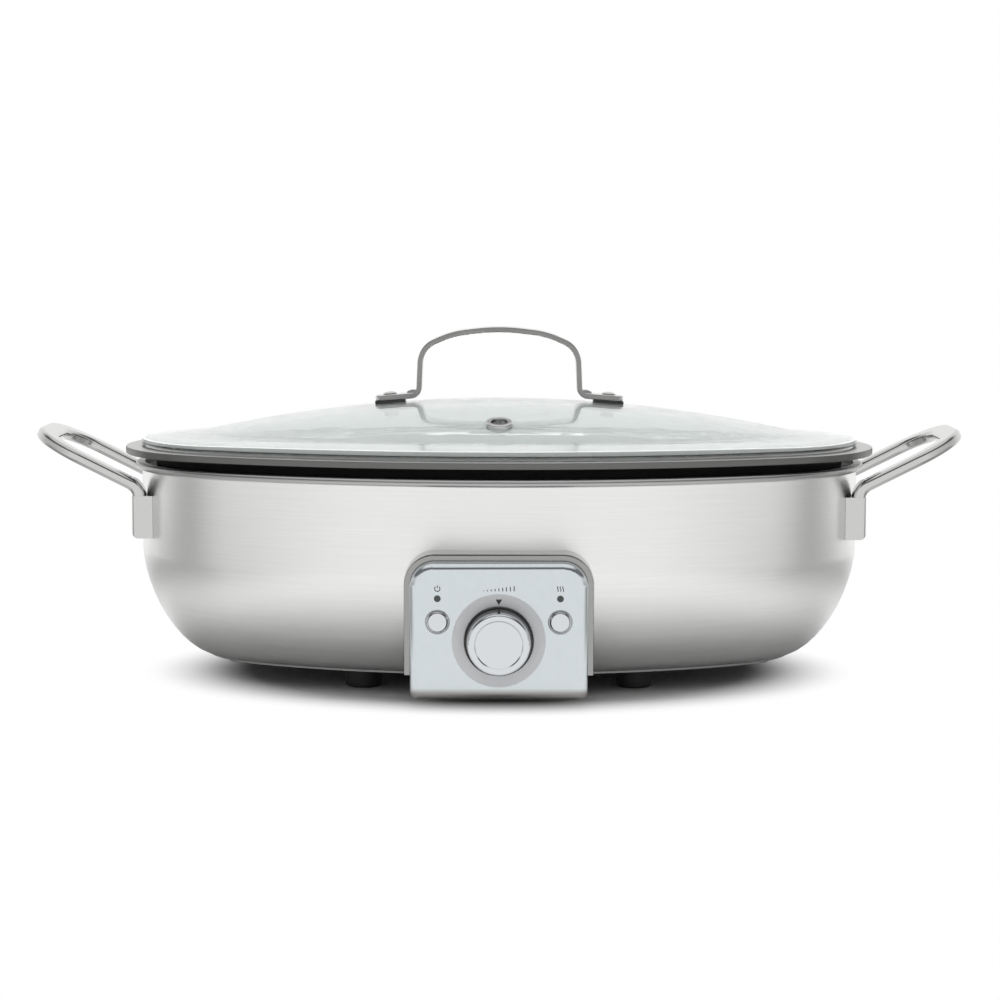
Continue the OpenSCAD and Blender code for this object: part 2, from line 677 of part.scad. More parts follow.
// The bend is a little thicker than the loop that is let into it, and thinner than the pad
step = 0.2;
strap_x = pad_out_x - 0.3 - arm_t/2 - step;
bend_r = 8;
tip_bend = 26;
rise = atan(arm_slope);
loop_x = strap_x + bend_r*(1 - sin(rise));
loop_z = pad_high_z + bend_r*cos(rise);
loop_run = (tip_x - loop_x - (arm_w/2 - arm_edge)*cos(rise) - (arm_t/2 - arm_edge)*sin(rise)
    - arm_edge)/cos(rise);

module side_handle() difference() {
    union() {
        // The loop lies in a plane that rises outwards
        translate([loop_x, 0, loop_z]) rotate([0, -rise, 0])
            bent([[-1, -arm_y, 0], [loop_run, -arm_y, tip_bend], [loop_run, arm_y, tip_bend], [-1, arm_y, 0]])
                bar(arm_w, arm_t, arm_edge);
        for (s = [-1, 1]) translate([0, s*arm_y, 0]) {
            translate([strap_x + bend_r, 0, pad_high_z]) rotate([90, 0, 0]) rotate(90 + rise)
                rotate_extrude(angle = 90 - rise) translate([bend_r, 0])
                    bar(arm_t + 2*step, arm_w + 2*step, arm_edge);
            intersection() {
                translate([0, pad_w/2, 0]) rotate([90, 0, 0]) linear_extrude(pad_w) polygon(concat(
                    [[body[0] + 60, pad_low_z]],
                    arc(pad_out_x - pad_corner, pad_low_z + pad_corner, pad_corner, -90, 0, 6),
                    [[pad_out_x, pad_high_z + 0.6], [body[0] + 60, pad_high_z + 0.6]]));
                translate([pad_out_x - 20, 0, 0]) linear_extrude(pad_high_z + 1) bar(40, pad_w, 2.2);
            }
        }
    }
    translate([body[0], 0, pad_low_z - 1]) cylinder(r = body[2], h = pad_high_z - pad_low_z + 3);
    for (p = rivet_at) translate([body[0], p[0], p[1]]) rotate([0, 90, 0])
        cylinder(r = rivet_r + running, h = far);
}
module left_handle() color([0.82, 0.82, 0.82]) placed() mirror([1, 0, 0]) side_handle();
module right_handle() color([0.82, 0.82, 0.82]) placed() side_handle();

// Between the housing's wall and the reflector, at both ends
module in_end_wall(r_in, r_out) intersection() {
    translate([body[0], 0, 0]) ring(r_in, r_out, pad_low_z - 4, pad_high_z + 4);
    children();
}

backing_t = 1.6;
wall_in_r = body[2] - sheet;
module handle_backing_plates() color([0.7, 0.7, 0.7]) placed() both_sides() for (s = [-1, 1]) difference() {
    in_end_wall(wall_in_r - backing_t, wall_in_r - running)
        translate([body[0], s*arm_y - 8, pad_low_z + 1]) cube([far, 16, pad_high_z - pad_low_z - 2]);
    for (p = rivet_at) translate([body[0], p[0], p[1]]) rotate([0, 90, 0])
        cylinder(r = rivet_r + running, h = far);
}

rivet_in_x = end_x(grown(body, -sheet - backing_t), arm_y + rivet_r) - 0.2;
module handle_rivets() color([0.8, 0.8, 0.8]) placed() both_sides() for (p = rivet_at)
    translate([rivet_in_x, p[0], p[1]]) rotate([0, 90, 0]) {
        cylinder(r = rivet_r, h = pad_out_x - rivet_in_x);
        translate([0, 0, pad_out_x - rivet_in_x]) cylinder(r1 = rivet_r, r2 = rivet_r - 0.6, h = 0.3);
    }

// ---- Cord gland, in the back wall ----

gland_body_r = 8;
module cord_gland() color([0.08, 0.08, 0.085]) placed() translate([0, 0, gland_z]) rotate([-90, 0, 0])
    rotate_extrude() polygon([[gland_hole_d/2, half_depth(body) - 5], [gland_body_r, half_depth(body) - 5],
        [gland_body_r, half_depth(body)], [gland_body_r + 2.5, half_depth(body)],
        [gland_body_r + 2.5, half_depth(body) + 2], [gland_body_r - 1, half_depth(body) + 3],
        [gland_hole_d/2 + 2, gland_end], [gland_hole_d/2, gland_end]]);

gland_nut_across = 20;
module gland_nut() color([0.1, 0.1, 0.1]) placed() translate([0, 0, gland_z]) rotate([-90, 0, 0])
    difference() {
        wall = side_y(grown(body, -sheet), gland_nut_across/2/cos(30));
        hexagon(gland_nut_across, wall - 3.2, wall - running);
        translate([0, 0, half_depth(body) - 6]) cylinder(r = gland_body_r + 0.05, h = 8);
    }

// ---- Pan ----

pan_draft = 8;
module cooking_pan() color([0.16, 0.16, 0.165]) placed() {
    low = flange_z - flange_t;
    in = flange_w + pan_draft + pan_corner;
    floor_in = in + 12;
    z = pan_base_z + pan_corner;
    around(pan) polygon(concat(
        arc(-0.9, flange_z - 0.9, 0.9, 90, 0, 3), arc(-0.9, low + 0.9, 0.9, 0, -90, 3),
        [[1 - flange_w, low], [-flange_w, low - 2]],
        arc(-in, z, pan_corner, -8, -90, 8), [[-floor_in, pan_base_z], [-floor_in, pan_base_z + pan_t]],
        arc(-in, z, pan_corner - pan_t, -90, -8, 8),
        [[-flange_w - pan_t, low - 1], [-flange_w - pan_t + 0.5, flange_z - 0.6],
        [1 - flange_w - pan_t, flange_z], [-lid_step - 6, flange_z], [-lid_step - 5.6, flange_z + ledge_h],
        [-lid_step - 2.4, flange_z + ledge_h], [-lid_step - 2, flange_z]]));
    oval_plate(grown(pan, 1 - floor_in), pan_base_z, pan_base_z + pan_t);
}

// ---- Lid ----

dome_rx = 800;
dome_ry = 262;
brim_rx = 2006;
brim_ry = 660;
seat_z = flange_z + ledge_h + apart;
vent_tilt = asin(vent_y/dome_ry);
vent_top_z = dome_z - dome_ry*(1 - cos(vent_tilt));
foot_tilt = asin(lid_screw_x/dome_rx);
foot_top_z = dome_z - dome_rx*(1 - cos(foot_tilt));
glass_hole_r = 3;
lid_screw_r = 2;
gasket_t = 1.6;

// Frames whose z is the glass's outward normal
module at_vent() translate([0, -vent_y, vent_top_z]) rotate([vent_tilt, 0, 0]) children();
module at_lid_feet() for (s = [-1, 1]) translate([s*lid_screw_x, 0, foot_top_z])
    rotate([0, s*foot_tilt, 0]) children();

module lid_glass() color([0.8, 0.87, 0.86, 0.4]) placed() difference() {
    intersection() {
        union() {
            crown(dome_z, dome_rx, dome_ry);
            crown(brim_z, brim_rx, brim_ry);
        }
        oval_plate(lid, seat_z, dome_z + 10);
    }
    union() {
        crown(dome_z - glass_t, dome_rx - glass_t, dome_ry - glass_t);
        crown(brim_z - glass_t, brim_rx - glass_t, brim_ry - glass_t);
    }
    at_vent() translate([0, 0, -20]) cylinder(r = vent_hole_d/2 + 1, h = 40);
    at_lid_feet() translate([0, 0, -20]) cylinder(r = glass_hole_r, h = 40);
}

module steam_vent() color([0.75, 0.75, 0.75]) placed() at_vent() rotate_extrude() {
    hole = vent_hole_d/2;
    polygon(concat(arc(hole + 0.5, 1.3, 0.5, 180, 90, 3), arc(vent_d/2 - 1, 0.9, 0.9, 90, 0, 4),
        [[vent_d/2 - 0.1, 0.15], [hole + 0.8, 0.15], [hole + 0.8, -glass_t - 0.15],
        [vent_d/2 - 1, -glass_t - 0.15], [vent_d/2 - 1.4, -glass_t - 1.2], [hole, -glass_t - 1.2]]));
}

// A point in the plane of the lid handle: along the glass from the screw, and above the glass
function on_foot(a, up) = [lid_screw_x + a*cos(foot_tilt) + up*sin(foot_tilt),
    foot_top_z - a*sin(foot_tilt) + up*cos(foot_tilt)];
tab_up = gasket_t + strap_t/2;
leg_x = 46.5;
shoulder_x = 46;
arch_rise = 0.22;
arch_peak_z = lid_handle_z - strap_t/2 + 2.4;
half_strap = [concat(on_foot(8.5, tab_up), 0), concat(on_foot(leg_x - lid_screw_x, tab_up), 5),
    [shoulder_x, arch_peak_z - shoulder_x*arch_rise, 16]];
strap_path = concat([for (p = half_strap) [-p[0], p[1], p[2]]], [[0, arch_peak_z, 100]],
    [for (i = [2:-1:0]) half_strap[i]]);

module lid_handle() color([0.7, 0.7, 0.69]) placed() difference() {
    union() {
        rotate([90, 0, 0]) bent(strap_path) bar(strap_t, strap_w, 0.6);
        // Pressed ribs that stiffen the bends
        both_sides() translate([0, 2, 0]) rotate([90, 0, 0]) linear_extrude(4) polygon([
            on_foot(-9, tab_up), on_foot(-10, tab_up + strap_t/2 + 1),
            on_foot(-12.5, tab_up + strap_t/2 + 1.9), on_foot(-15.5, tab_up + strap_t/2 + 1.7),
            on_foot(-16, tab_up)]);
    }
    at_lid_feet() cylinder(r = lid_screw_r + fit, h = 20);
    // Round corners of the two tabs
    both_sides() for (s = [-1, 1]) translate([on_foot(8.5, 0)[0], s*strap_w/2, foot_top_z - 5])
        rotate(s > 0 ? 180 : 90) difference() {
            translate([-0.5, -0.5, 0]) cube([4.5, 4.5, 14]);
            translate([4, 4, -1]) cylinder(r = 4, h = 16);
        }
}

module handle_gaskets() color([0.05, 0.05, 0.05]) placed() at_lid_feet() difference() {
    translate([-8.7, -strap_w/2, 0.12]) cube([17.4, strap_w, gasket_t - 0.12]);
    translate([0, 0, -1]) cylinder(r = lid_screw_r + fit, h = 5);
}

module handle_screws() color([0.72, 0.72, 0.72]) placed() at_lid_feet() {
    head = gasket_t + strap_t;
    rotate_extrude() polygon(concat([[0, -glass_t - 5], [lid_screw_r, -glass_t - 5], [lid_screw_r, head],
        [4.4, head]], [for (a = [20:23.3:90]) [4.4*cos(a), head + 1.7*sin(a)]], [[0, head + 1.7]]));
}

module handle_washers() color([0.3, 0.3, 0.3]) placed() at_lid_feet()
    ring(lid_screw_r + fit, 6.5, -glass_t - 1.4, -glass_t - 0.1);

module handle_nuts() color([0.72, 0.72, 0.72]) placed() at_lid_feet() difference() {
    hexagon(7, -glass_t - 4.6, -glass_t - 1.4);
    translate([0, 0, -glass_t - 6]) cylinder(r = lid_screw_r + running, h = 6);
}

housing_shell();
bottom_cover();
cover_screws();
rubber_feet();
foot_screws();
foot_nuts();
heat_reflector();
heater_plate();
heating_element();
element_terminals();
ceramic_beads();
plate_studs();
stud_spacers();
stud_nuts();
sensor_probe();
sensor_bracket();
thermal_fuse();
control_box();
control_surround();
dial_disc();
control_board();
board_screws();
box_screws();
temperature_control();
button_switches();
power_lamp();
sear_lamp();
wire_grommet();
left_handle();
right_handle();
handle_rivets();
handle_backing_plates();
cord_gland();
gland_nut();
control_knob();
knob_skirt();
knob_shaft();
power_button();
sear_button();
cooking_pan();
lid_glass();
lid_handle();
handle_gaskets();
handle_screws();
handle_washers();
handle_nuts();
steam_vent();
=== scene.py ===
# %% [markdown]
# # An oval slow cooker
#
# The shapes of this slow cooker come ready made from its solid model, packed as one mesh for
# each part. This script dresses them: it sets up a plain white studio, shades the round
# stretches smoothly, gives every part a finish worked out from formulas instead of pictures,
# and adds a rounder lid handle and the few small pieces that are too fine for the solid
# model. Everything is in metres. +X is to the right, -Y is the front with the controls, and
# +Z is up.

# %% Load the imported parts
import json
import math
import bpy
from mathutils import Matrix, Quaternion, Vector


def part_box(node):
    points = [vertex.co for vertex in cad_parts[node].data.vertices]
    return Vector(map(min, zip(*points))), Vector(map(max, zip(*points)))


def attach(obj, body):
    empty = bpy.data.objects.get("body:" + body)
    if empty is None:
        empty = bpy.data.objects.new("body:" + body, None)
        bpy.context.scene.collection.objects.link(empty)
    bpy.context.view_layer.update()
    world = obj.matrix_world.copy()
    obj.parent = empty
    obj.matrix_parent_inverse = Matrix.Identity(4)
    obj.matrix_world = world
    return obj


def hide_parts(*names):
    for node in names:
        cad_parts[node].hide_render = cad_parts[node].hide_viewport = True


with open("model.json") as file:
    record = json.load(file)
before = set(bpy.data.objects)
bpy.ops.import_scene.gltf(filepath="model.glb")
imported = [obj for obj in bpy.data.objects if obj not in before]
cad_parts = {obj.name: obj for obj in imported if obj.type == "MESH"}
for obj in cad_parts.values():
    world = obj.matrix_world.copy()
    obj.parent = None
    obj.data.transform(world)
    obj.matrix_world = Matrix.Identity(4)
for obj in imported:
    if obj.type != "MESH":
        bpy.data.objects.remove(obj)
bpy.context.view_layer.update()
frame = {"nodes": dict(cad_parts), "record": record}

parts = frame["nodes"]
scene = bpy.context.scene
mm = 0.001

# %% [markdown]
# ## Camera
# The camera stands well back and has a long lens, so that the oval looks calm and its two
# ends stay the same size. The camera is a little higher than the lid and looks down
# at the middle of the housing's wall. All of its places are measured from the housing.

# %% Camera
housing_low, housing_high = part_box("housing_shell")
middle_y = (housing_low.y + housing_high.y) / 2
camera_data = bpy.data.cameras.new("camera")
camera_data.lens = 99.43
camera_data.sensor_width = 36
camera_data.shift_x = 0.0009
camera_distance = 1.6
camera_height = 0.2587
aim_height = 0.0987
camera_roll = 0.0023
camera = bpy.data.objects.new("camera", camera_data)
scene.collection.objects.link(camera)
camera.location = (0, middle_y - camera_distance, camera_height)
gaze = Vector((0, middle_y, aim_height)) - camera.location
roll = Quaternion((0, 0, 1), camera_roll)
camera.rotation_euler = (gaze.to_track_quat("-Z", "Y") @ roll).to_euler()
scene.camera = camera
scene.view_settings.view_transform = "Standard"
print("camera stands", round(gaze.length, 3), "m from the cooker")

# %% [markdown]
# ## Sums with sockets
# A finish is a small web of nodes. Written one node at a time, even a short sum fills half a
# page. The class below wraps an output socket, so that `1 - 0.3 * grain` builds its Math
# nodes by itself. Each operator has a reflected form, such as __rsub__, because the number
# may stand first. Only the operators that the finishes use are there.

# %% Sockets that can be added and multiplied
class Flow:
    """An output socket that can be used in sums; each sign adds one Math node."""

    def __init__(self, finish, socket):
        self.finish = finish
        self.socket = socket

    def work(self, operation, first, second=0.0):
        return self.finish.node("Math", {"operation": operation}, {0: first, 1: second})

    def __add__(self, other):
        return self.work("ADD", self, other)

    def __radd__(self, other):
        return self.work("ADD", other, self)

    def __sub__(self, other):
        return self.work("SUBTRACT", self, other)

    def __rsub__(self, other):
        return self.work("SUBTRACT", other, self)

    def __mul__(self, other):
        return self.work("MULTIPLY", self, other)

    def __rmul__(self, other):
        return self.work("MULTIPLY", other, self)

    def __truediv__(self, other):
        return self.work("DIVIDE", self, other)

    def __pow__(self, other):
        return self.work("POWER", self, other)

    def __abs__(self):
        return self.work("ABSOLUTE", self)

    def __gt__(self, other):
        return self.work("GREATER_THAN", self, other)

    def __lt__(self, other):
        return self.work("LESS_THAN", self, other)

    def clamp(self):
        return self.work("MINIMUM", self.work("MAXIMUM", self, 0.0), 1.0)


# %% [markdown]
# ## One place to make nodes
# `Finish` holds a node tree, of a material or of the sky. Its method `node` makes any kind
# of node: it takes the kind, then its settings, and last the values or sockets that go into
# it. The short methods below it are the few nodes that nearly every finish uses.

# %% Finishes
class Finish:
    """A node tree that is being built."""

    def __init__(self, name, owner=None):
        self.owner = owner or bpy.data.materials.new(name)
        self.owner.use_nodes = True
        self.tree = self.owner.node_tree
        self.tree.nodes.clear()

    def node(self, kind, settings=None, values=None, output=0):
        made = self.tree.nodes.new("ShaderNode" + kind)
        for name, value in (settings or {}).items():
            if name == "stops":
                for spot, (place, shade) in enumerate(value):
                    if spot > 1:
                        made.color_ramp.elements.new(place)
                    made.color_ramp.elements[spot].position = place
                    made.color_ramp.elements[spot].color = (*shade, 1)
            else:
                setattr(made, name, value)
        for name, value in (values or {}).items():
            if isinstance(value, Flow):
                self.tree.links.new(value.socket, made.inputs[name])
            else:
                colour = isinstance(value, tuple) and made.inputs[name].type == "RGBA"
                made.inputs[name].default_value = (*value, 1) if colour else value
        return Flow(self, made.outputs[output])

    def beside(self, flow, output):
        """Another output of the node that a socket belongs to."""
        return Flow(self, flow.socket.node.outputs[output])

    def at(self, scale=(1, 1, 1), centre=(0, 0, 0)):
        """The object's own coordinates, measured from a centre and stretched."""
        own = self.node("TexCoord", output="Object")
        moved = [-s * c for s, c in zip(scale, centre)]
        return self.node("Mapping", None, {"Vector": own, "Scale": scale, "Location": moved})

    def xyz(self, vector):
        split = self.node("SeparateXYZ", None, {"Vector": vector})
        return [self.beside(split, axis) for axis in "XYZ"]

    def facing(self):
        """How far the surface faces along each axis."""
        return self.xyz(self.node("NewGeometry", output="Normal"))

    def noise(self, vector, detail=2.0, rough=0.5):
        return self.node("TexNoise", None, {
            "Vector": vector, "Scale": 1.0, "Detail": detail, "Roughness": rough})

    def blend(self, share, first, second):
        """From one colour to another."""
        return self.node("Mix", {"data_type": "RGBA"}, {0: share, 6: first, 7: second}, 2)

    def bump(self, height, strength, depth):
        return self.node("Bump", None, {"Height": height, "Strength": strength, "Distance": depth})

    def end(self, shader, kind="OutputMaterial"):
        out = self.tree.nodes.new("ShaderNode" + kind)
        self.tree.links.new(shader.socket, out.inputs["Surface"])
        return self.owner

    def surface(self, values):
        """Ends the material in one Principled surface."""
        return self.end(self.node("BsdfPrincipled", None, values))


print("sums and finishes are ready")

# %% [markdown]
# ## Floor
# The floor is white paper. It is a real matt surface, so it takes the cooker's shadow, and a
# little way from the cooker it turns into an even white, as it does in a studio where the
# paper is lit on its own. It only does that where it is seen: straight on, in polished metal
# and through the glass. To the left and right of the cooker the paper is greyer in
# reflections, because the studio's grey side cards stand there. They give the round
# ends of a steel pot their soft shading.

# %% Floor
bpy.ops.object.select_all(action="DESELECT")
floor_radius = 8
bpy.ops.mesh.primitive_circle_add(vertices=96, radius=floor_radius, fill_type="NGON", location=(0, 0, 0))
floor = bpy.context.object
floor.name = "studio_floor"
paper = Finish("studio_paper")
rays = paper.node("LightPath")
straight = (rays + paper.beside(rays, "Is Transmission Ray")).clamp()
mirrored = paper.beside(rays, "Is Glossy Ray")
px, py, _ = paper.xyz(paper.at(centre=(0, middle_y, 0)))
shadow_reach_x = 0.19
shadow_reach_y = 0.15
across = px / shadow_reach_x
along = py / shadow_reach_y
from_cooker = (across * across + along * along) ** 0.5
away = ((from_cooker - 0.75) / 0.35).clamp()
soft_away = away * away * (3 - 2 * away)
far_away = ((from_cooker - 1.1) / 0.7).clamp()
card_distance = 0.21
card_fade = 0.14
beside_it = ((abs(px) - card_distance) / card_fade).clamp() * (1.5 - abs(py) / 0.3).clamp()
matt = paper.node("BsdfDiffuse", None, {"Color": (0.8, 0.8, 0.8)})
dimmed = 1 - 0.6 * mirrored * beside_it
glow = paper.node("Emission", None, {"Color": (1, 1, 1), "Strength": dimmed})
glowing = straight * soft_away + mirrored * far_away
both = paper.node("MixShader", None, {0: glowing, 1: matt, 2: glow})
floor.data.materials.append(paper.end(both))
print("floor is", round(floor.dimensions.x, 1), "m across")

# %% [markdown]
# ## Sky and lamp
# The sky stands for the studio's walls. Looked at, it is white. Matt surfaces get a plain,
# dim light from it, and one large softbox overhead gives the rest, so that the shadow stays
# close under the cooker. Metal is different: it shows nothing but what stands around it. For
# mirrored rays the sky is therefore drawn as a real studio is: white low down all round and
# behind, a dark ceiling in front above the camera, a bright softbox straight overhead, and
# the grey cards at both sides.

# %% Sky
world = bpy.data.worlds.new("studio")
scene.world = world
sky = Finish("sky", world)
sx, sy, sz = sky.xyz(sky.node("TexCoord", output="Generated"))
rays = sky.node("LightPath")
straight = (rays + sky.beside(rays, "Is Transmission Ray")).clamp()
mirrored = sky.beside(rays, "Is Glossy Ray")
wall_white = (1.0, 1.0, 1.0)
dark_ceiling = (0.13, 0.13, 0.14)
softbox_light = (0.9, 0.9, 0.9)
in_front = sky.node("ValToRGB", {"stops": [
    (0.0, wall_white), (0.30, wall_white), (0.43, dark_ceiling), (0.76, dark_ceiling),
    (0.88, softbox_light)]}, {"Fac": sz})
cards = ((abs(sx) - 0.5) / 0.4).clamp() * (1 - sz * 2.0).clamp()
card_darkness = 0.54
carded = sky.blend(cards * card_darkness, in_front, (0.0, 0.0, 0.0))
behind = (sy * 3.0 - 0.9).clamp()
room_light = 0.3
room = sky.node("Background", None, {"Color": (1, 1, 1), "Strength": room_light})
around = sky.blend(behind, carded, (1, 1, 1))
bank = sky.node("Background", None, {"Color": around, "Strength": 1.0})
white = sky.node("Background", None, {"Color": (1, 1, 1), "Strength": 1.0})
lit = sky.node("MixShader", None, {0: mirrored, 1: room, 2: bank})
sky.end(sky.node("MixShader", None, {0: straight, 1: lit, 2: white}), "OutputWorld")
print("the studio's walls and cards are drawn in the sky")

# %% Lamp
lamp_data = bpy.data.lights.new("softbox_overhead", "AREA")
lamp_data.size = 1.1
lamp_data.energy = 24
lamp = bpy.data.objects.new("softbox_overhead", lamp_data)
scene.collection.objects.link(lamp)
lamp_height = 1.6
lamp.location = (0, middle_y + 0.15, lamp_height)
lamp.visible_glossy = False
print("lamp:", lamp_data.energy, "W at", round(lamp.location.z, 2), "m")

# %% [markdown]
# ## Smooth copies
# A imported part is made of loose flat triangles, so its round stretches show facets. The part
# itself is never changed. A copy of it has its triangles joined, is shaded smoothly wherever
# two faces meet at a small angle, and gets weighted normals, which keep large flats flat
# beside a rounded edge. The copy stands for the part and moves with the same body. Small
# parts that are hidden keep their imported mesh, and the lid handle gets a new piece below.

# %% Smooth copies
bodies = frame["record"]["behaviour"]["bodies"]
body_of = {node: body for body, nodes in bodies.items() for node in nodes}
shown = dict(parts)


def select_only(piece):
    """Makes one object the only one that an operator acts on."""
    bpy.ops.object.select_all(action="DESELECT")
    piece.select_set(True)
    bpy.context.view_layer.objects.active = piece


def smooth(angle, *names):
    """Gives each named part a copy that is shaded smoothly below this angle."""
    for name in names:
        piece = bpy.data.objects.new(name + "_smooth", parts[name].data.copy())
        scene.collection.objects.link(piece)
        select_only(piece)
        bpy.ops.mesh.customdata_custom_splitnormals_clear()
        bpy.ops.object.mode_set(mode="EDIT")
        bpy.ops.mesh.select_all(action="SELECT")
        bpy.ops.mesh.remove_doubles(threshold=0.001 * mm)
        bpy.ops.object.mode_set(mode="OBJECT")
        bpy.ops.object.shade_smooth_by_angle(angle=math.radians(angle))
        bpy.ops.object.modifier_add(type="WEIGHTED_NORMAL")
        piece.modifiers[-1].keep_sharp = True
        bpy.ops.object.modifier_apply(modifier=piece.modifiers[-1].name)
        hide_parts(name)
        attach(piece, body_of[name])
        shown[name] = piece
    print("smoothed:", len(names), "parts below", angle, "degrees")


smooth(30, "housing_shell", "control_surround", "control_box", "dial_disc", "control_knob",
       "knob_skirt", "power_button", "sear_button", "power_lamp", "sear_lamp", "left_handle", "right_handle",
       "handle_rivets", "cooking_pan", "lid_glass", "handle_gaskets", "handle_screws",
       "steam_vent", "rubber_feet", "bottom_cover", "cover_screws", "foot_screws", "cord_gland",
       "gland_nut", "heat_reflector", "heater_plate", "heating_element")


# %% [markdown]
# ## Dressing a part
# A finish is put on whatever mesh is shown for a part, which is its smooth copy where it has
# one. All of the mesh's slots get the same finish, and the names of the dressed parts are
# kept, so that a part that was forgotten is found at the end.

# %% Dress a part in a finish
dressed = set()


def dress(material, *names):
    """Puts one material on all the slots of the named parts."""
    for name in names:
        data = shown[name].data
        if not data.materials:
            data.materials.append(material)
        for slot in range(len(data.materials)):
            data.materials[slot] = material
        dressed.add(name)
    print(material.name, "on", ", ".join(names))


# %% [markdown]
# ## Brushed steel of the housing
# The housing is a band of stainless steel, brushed along its length with an abrasive belt.
# The belt leaves lines that are long from left to right and very close together from top to
# bottom. A noise that is stretched the same way gives them, both as fine ridges that spread
# a highlight up and down and as a faint change of shade. The rolled rim is formed after
# brushing and is plainer and darker.

# %% Housing
steel = Finish("brushed_steel")
lines = steel.noise(steel.at((16, 16, 1100)), 3.0, 0.6)
fine = steel.noise(steel.at((60, 60, 4200)), 2.0)
clouds = steel.noise(steel.at((5, 5, 9)))
z = steel.xyz(steel.at())[2]
rim_height = 3.6 * mm
rim = ((z - (housing_high.z - rim_height)) / (0.5 * mm)).clamp()
grain = lines * 0.6 + fine * 0.4
shade = 0.60 + 0.42 * grain + 0.10 * clouds
brushed = steel.blend(shade.clamp(), (0.52, 0.52, 0.515), (0.93, 0.93, 0.92))
rim_steel = (0.47, 0.47, 0.465)
dress(steel.surface({
    "Base Color": steel.blend(rim, brushed, rim_steel), "Metallic": 1.0,
    "Roughness": 0.25 + 0.12 * grain, "Anisotropic": 0.55, "Anisotropic Rotation": 0.25,
    "Normal": steel.bump(grain, 0.25, 0.12 * mm)}), "housing_shell")

# %% [markdown]
# ## Bare metals
# Polished, plated, rolled and cast metal differ in three things: how bright the metal is, how
# blurred its reflections are, and which marks were left on it. One function makes them all.
# Its noise is drawn out along the direction in which the metal was rubbed or rolled. The cover
# under the heater is a duller sheet than the reflector, which is kept bright, and its darker
# tone is painted shade for the dark gap under the cooker.

# %% Bare metals
def metal(name, tint, rough, scale, depth, spread=0.06, dark=0.8):
    """A bare metal with faint rubbed marks: scale says which way they run."""
    made = Finish(name)
    rub = made.noise(made.at(scale), 3.0, 0.6)
    haze = made.noise(made.at((30, 30, 30)))
    tone = made.blend((0.75 + 0.3 * rub * haze).clamp(), tuple(dark * c for c in tint), tint)
    return made.surface({
        "Base Color": tone, "Metallic": 1.0,
        "Roughness": rough - spread / 2 + spread * rub + 0.03 * haze,
        "Normal": made.bump(rub, 0.15, depth)})


fine_polish = (300, 300, 300)
rolled = (20, 20, 900)
dress(metal("polished_steel", (0.62, 0.62, 0.61), 0.13, fine_polish, 0.01 * mm),
      "left_handle", "right_handle", "handle_screws", "handle_rivets", "steam_vent")
dress(metal("bright_sheet", (0.62, 0.62, 0.62), 0.32, rolled, 0.04 * mm, 0.12),
      "heat_reflector", "handle_backing_plates", "sensor_bracket")
# The cover's dark tone is painted shade for the gap under the cooker.
dress(metal("dull_sheet_painted_shade", (0.34, 0.34, 0.34), 0.42, rolled, 0.04 * mm, 0.12), "bottom_cover")
dress(metal("zinc_plate", (0.58, 0.58, 0.58), 0.34, (400, 400, 400), 0.02 * mm, 0.14),
      "cover_screws", "foot_screws", "foot_nuts", "plate_studs", "stud_spacers", "stud_nuts",
      "board_screws", "box_screws", "handle_washers", "handle_nuts", "sensor_probe",
      "knob_shaft", "element_terminals")
dress(metal("cast_aluminium", (0.52, 0.52, 0.52), 0.48, (700, 700, 700), 0.06 * mm, 0.16),
      "heater_plate")
dress(metal("heated_steel", (0.20, 0.18, 0.17), 0.5, (500, 500, 500), 0.04 * mm, 0.16),
      "heating_element")

# %% [markdown]
# ## Finishes of the lid handle and the collar
# The lid handle is a flat bar that was cut from sheet and bent. Its broad faces are polished,
# while its cut edges, which face the front and the back, are rougher, and their darker tone is
# painted shade. The direction in which the surface faces tells the two apart. The collar between
# the housing and the control box is polished too, but it mostly mirrors the dark gap beside it,
# so its metal is made darker as a painted reflection of that gap.

# %% Finishes of the lid handle and the collar
bar = Finish("bent_bar")
rub = bar.noise(bar.at((260, 260, 260)), 3.0, 0.6)
to_back = bar.facing()[1]
# The cut edges are rougher for real, and their darker tone is painted shade.
dull_and_shaded_edge = ((abs(to_back) - 0.75) / 0.2).clamp()
bar_steel = bar.surface({
    "Base Color": bar.blend(dull_and_shaded_edge, (0.72, 0.72, 0.71), (0.29, 0.29, 0.285)),
    "Metallic": 1.0, "Roughness": 0.16 + 0.14 * dull_and_shaded_edge + 0.05 * rub,
    "Normal": bar.bump(rub, 0.15, 0.01 * mm)})
dress(bar_steel, "lid_handle")
# The collar's dark metal is a painted reflection of the dark gap beside it.
dress(metal("collar_painted_reflection", (0.38, 0.38, 0.37), 0.15, (90, 90, 90), 0.05 * mm, 0.10, 0.5),
      "control_surround")

# %% [markdown]
# ## Coated metal, plastic and rubber
# These surfaces take their colour from a layer and not from bare metal. The layer has a very
# fine grain and faint clouds, so that it never looks computed. A high value for metallic
# makes a metal paint, as on the disc behind the knob.

# %% Coated metal, plastic and rubber
def coated(name, tint, second, rough, metallic):
    """A painted, moulded or fired surface with a very fine grain."""
    made = Finish(name)
    specks = made.noise(made.at((900, 900, 900)), 3.0, 0.6)
    clouds = made.noise(made.at((12, 12, 12)))
    tone = made.blend((0.5 * specks + 0.5 * clouds).clamp(), tint, second)
    return made.surface({
        "Base Color": tone, "Metallic": metallic, "Roughness": rough + 0.08 * (specks - 0.5),
        "Normal": made.bump(specks, 0.2, 0.01 * mm)})


